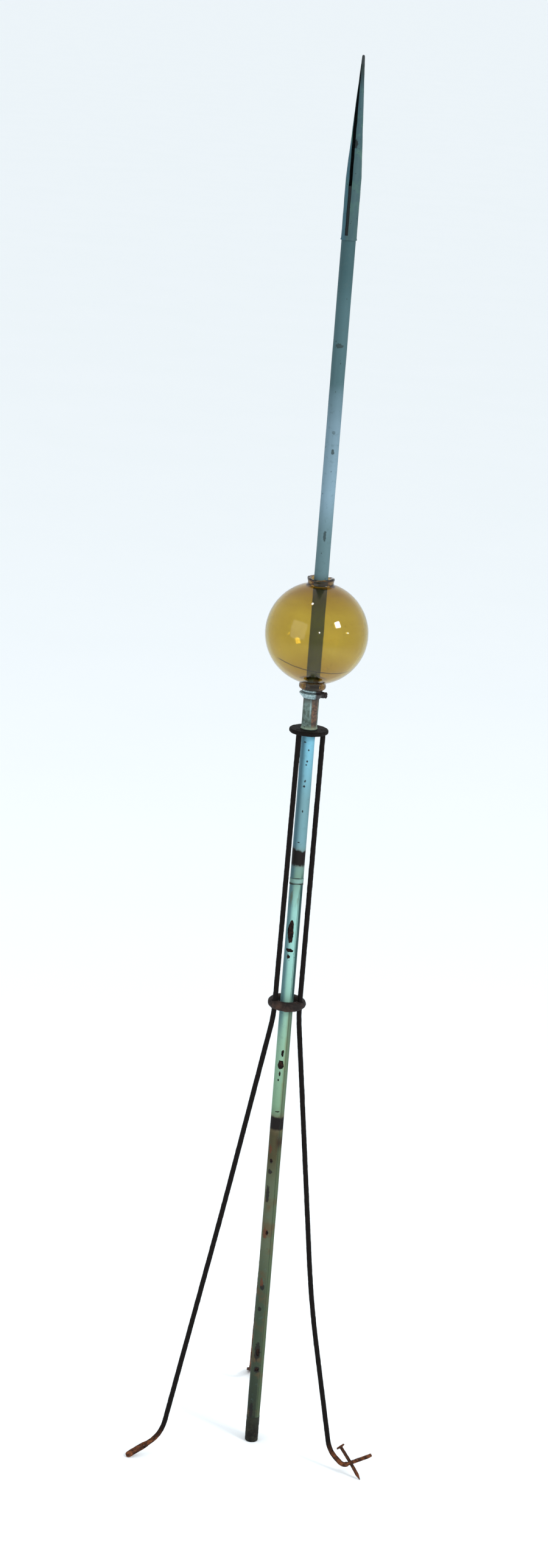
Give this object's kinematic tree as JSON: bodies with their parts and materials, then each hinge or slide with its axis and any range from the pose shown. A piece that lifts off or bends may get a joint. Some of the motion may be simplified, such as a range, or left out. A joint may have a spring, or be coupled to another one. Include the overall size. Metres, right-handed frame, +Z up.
{
  "type": "lightning rod",
  "caption": "Roof lightning rod: sheathed iron rod with a tapered point and an amber glass ball on a stop collar, standing in a three-legged iron stand with bent feet.",
  "frame": {"origin": "centre of the rod's lower end, on the plane that the stand rests on", "axes": "+Z up along the rod, -Y towards the front, where the left and right legs spread; the third leg runs back along +Y"},
  "size_m": [0.2837, 0.2876, 1.606],
  "materials": {
    "green_copper": "weathered sheet copper, teal and green patina",
    "tip_metal": "blackened solid tip",
    "blue_tube": "blue-grey weathered sheet",
    "core_iron": "dark rusted iron",
    "amber_glass": "amber blown glass with small flaws",
    "galvanised_collar": "galvanised casting, part blackened",
    "black_screw": "blackened iron",
    "mottled_sleeve": "grey-green sheet with orange rust",
    "pale_tube": "pale blue-green galvanised sheet, rusted through in places",
    "solder_band": "dull solder",
    "rusty_ferrule": "dark brown rust",
    "black_iron": "black iron",
    "ring_iron": "brown-black rusted iron",
    "rusty_iron": "rusted iron",
    "rusty_nail": "rusted iron"
  },
  "bodies": {
    "stand": {"top_plate": "black_iron", "mid_ring": "ring_iron", "leg_left": "black_iron", "leg_right": "black_iron", "leg_back": "black_iron", "foot_left": "rusty_iron", "foot_right": "rusty_iron", "foot_back": "rusty_iron", "foot_nail": "rusty_nail"},
    "sleeve": {"spacer_sleeve": "mottled_sleeve"},
    "rod": {"upper_tube": "blue_tube", "core_rod": "core_iron", "lower_tube": "pale_tube", "splice_band": "solder_band", "end_ferrule": "rusty_ferrule"},
    "point": {"point_shell": "green_copper", "point_tip": "tip_metal"},
    "collar": {"stop_collar": "galvanised_collar"},
    "thumb_screw": {"thumb_screw": "black_screw"},
    "ball": {"glass_ball": "amber_glass"}
  },
  "joints": [
    {"name": "rod_turn", "type": "hinge", "parent": "stand", "child": "sleeve", "pos_m": [0, 0, 0.8713], "axis": [0, 0, 1], "continuous": true},
    {"name": "rod_lift", "type": "slide", "parent": "sleeve", "child": "rod", "axis": [0, 0, 1], "range_m": [0, 0.54]},
    {"name": "point_pull", "type": "slide", "parent": "rod", "child": "point", "axis": [0, 0, 1], "range_m": [0, 0.055]},
    {"name": "collar_slide", "type": "slide", "parent": "rod", "child": "collar", "axis": [0, 0, 1], "range_m": [0, 0.48]},
    {"name": "thumb_screw_turn", "type": "hinge", "parent": "collar", "child": "thumb_screw", "pos_m": [0, 0, 0.91093], "axis": [0.9781, -0.2079, 0], "range_deg": [0, 720]},
    {"name": "ball_turn", "type": "hinge", "parent": "collar", "child": "ball", "pos_m": [0, 0, 0.9801], "axis": [0, 0, 1], "continuous": true}
  ]
}
